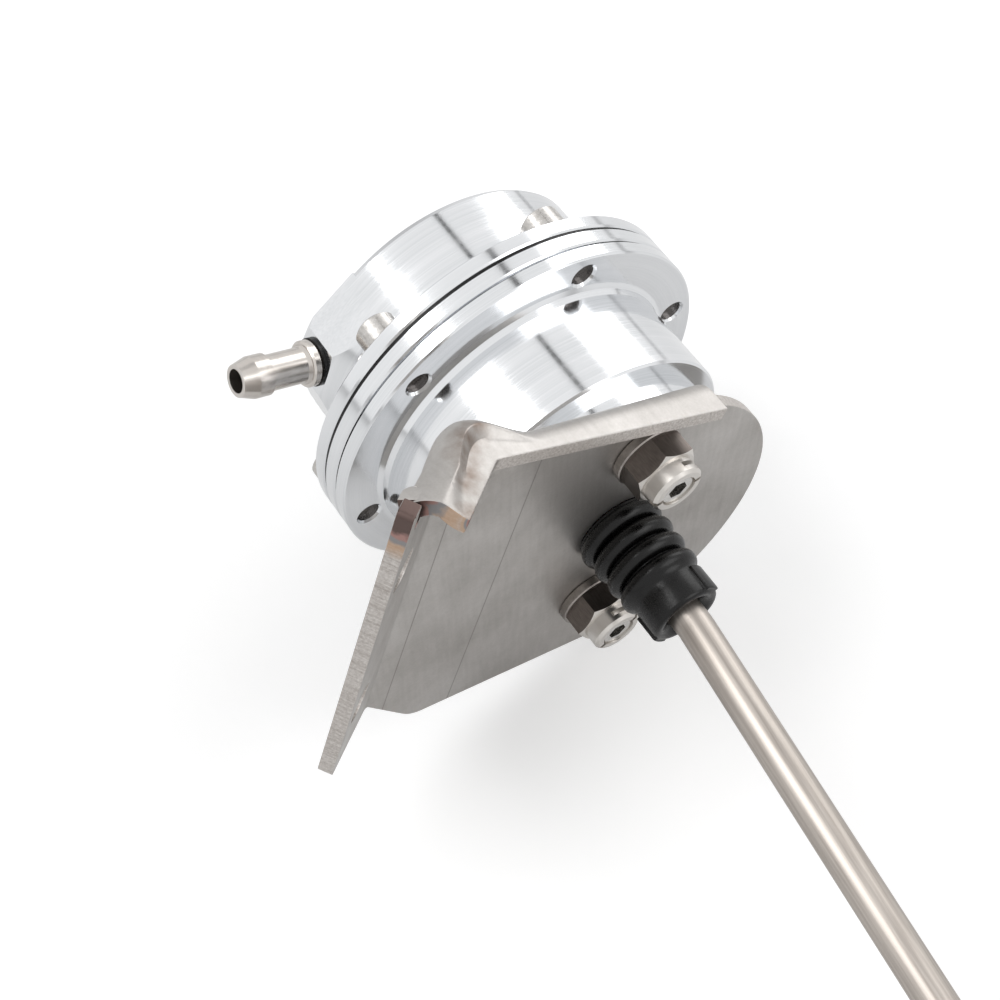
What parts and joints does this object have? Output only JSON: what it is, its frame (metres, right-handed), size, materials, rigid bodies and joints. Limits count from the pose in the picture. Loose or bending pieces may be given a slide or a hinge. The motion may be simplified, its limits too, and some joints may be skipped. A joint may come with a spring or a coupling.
{
  "type": "turbo wastegate actuator",
  "caption": "Diaphragm actuator with a clamped round canister, hose nipple, bent sheet bracket, rubber boot and a pull rod ending in a clevis.",
  "frame": {"origin": "on the rod's axis, in the bracket's back face where the canister seats", "axes": "+X along the rod out of the canister, +Z towards the bracket's bent top lip, +Y away from the bracket's side flange"},
  "size_m": [0.1906, 0.0953, 0.0937],
  "materials": {
    "polished_aluminium": "turned and polished",
    "turned_aluminium": "plain turned",
    "blasted_stainless": "bead blasted stainless steel, laser cut edges with heat tint",
    "brushed_stainless": "brushed stainless steel",
    "bright_steel": "bright turned steel",
    "zinc_steel": "zinc plated steel",
    "spring_steel": "oiled spring steel",
    "black_rubber": "moulded, semi matt",
    "bronze": "sintered bronze, machined"
  },
  "bodies": {
    "canister": {"cap_housing": "polished_aluminium", "hose_barb": "bright_steel", "barb_seal": "black_rubber", "flange_screws": "bright_steel", "middle_ring": "polished_aluminium", "diaphragm": "black_rubber", "main_spring": "spring_steel", "spring_seat": "zinc_steel", "ring_seal": "black_rubber", "lower_housing": "polished_aluminium", "guide_bush": "bronze", "bracket": "blasted_stainless", "mounting_studs": "bright_steel", "stud_washers": "bright_steel", "lock_nuts": "bright_steel", "boot": "black_rubber"},
    "rod": {"rod": "brushed_stainless", "piston": "turned_aluminium", "retainer_plate": "zinc_steel", "piston_nut": "zinc_steel", "jam_nut": "zinc_steel", "clevis": "zinc_steel"},
    "pin": {"clevis_pin": "bright_steel", "pin_clip": "spring_steel"}
  },
  "joints": [
    {"name": "rod_slide", "type": "slide", "parent": "canister", "child": "rod", "axis": [1, 0, 0], "range_m": [0, 0.012], "stiffness_N_per_m": 8000, "springref_m": -0.01, "deforming": ["main_spring", "diaphragm", "boot"]},
    {"name": "pin_turn", "type": "hinge", "parent": "rod", "child": "pin", "pos_m": [0.1336, -0.01139, -0.00174], "axis": [0, 0.1513, -0.9885], "continuous": true}
  ]
}
